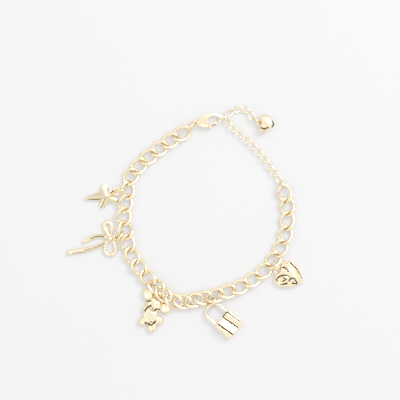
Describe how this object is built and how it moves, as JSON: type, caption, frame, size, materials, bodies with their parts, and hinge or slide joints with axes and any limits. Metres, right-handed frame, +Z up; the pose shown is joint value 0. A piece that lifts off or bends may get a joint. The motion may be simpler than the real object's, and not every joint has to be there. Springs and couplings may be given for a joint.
{
  "type": "charm bracelet",
  "caption": "Gold-coloured curb chain bracelet with star, bow, teddy bear, padlock and heart charms, a lobster clasp and a fine extender chain ending in a puffed heart.",
  "frame": {"origin": "centre of the bounding box's base, on the surface that the bracelet lies on", "axes": "+Z up from the surface, +Y towards the clasp, +X towards the extender's side"},
  "size_m": [0.0824, 0.0814, 0.0046],
  "materials": {
    "pale_gold": "polished"
  },
  "bodies": {
    "bracelet": {"link_01": "pale_gold", "link_02": "pale_gold", "link_03": "pale_gold", "link_04": "pale_gold", "link_05": "pale_gold", "link_06": "pale_gold", "link_07": "pale_gold", "link_08": "pale_gold", "link_09": "pale_gold", "link_10": "pale_gold", "link_11": "pale_gold", "link_12": "pale_gold", "link_13": "pale_gold", "link_14": "pale_gold", "link_15": "pale_gold", "link_16": "pale_gold", "link_17": "pale_gold", "link_18": "pale_gold", "link_19": "pale_gold", "link_20": "pale_gold", "link_21": "pale_gold", "link_22": "pale_gold", "link_23": "pale_gold", "link_24": "pale_gold", "link_25": "pale_gold", "link_26": "pale_gold", "link_27": "pale_gold", "link_28": "pale_gold", "link_29": "pale_gold", "link_30": "pale_gold", "link_31": "pale_gold", "star_ring": "pale_gold", "bow_ring": "pale_gold", "bear_ring": "pale_gold", "padlock_ring": "pale_gold", "heart_ring": "pale_gold", "clasp_ring": "pale_gold", "extender_ring": "pale_gold", "drop_ring": "pale_gold", "star": "pale_gold", "bow": "pale_gold", "bear": "pale_gold", "padlock": "pale_gold", "heart": "pale_gold", "clasp_body": "pale_gold", "extender_chain": "pale_gold", "end_drop": "pale_gold"},
    "lever": {"clasp_lever": "pale_gold"}
  },
  "joints": [
    {"name": "clasp_lever_hinge", "type": "hinge", "parent": "bracelet", "child": "lever", "pos_m": [0.00686, 0.03411, 0.0012], "axis": [0, 0, 1], "range_deg": [0, 22], "stiffness_Nm_per_rad": 0.01, "springref_deg": -17.19}
  ]
}
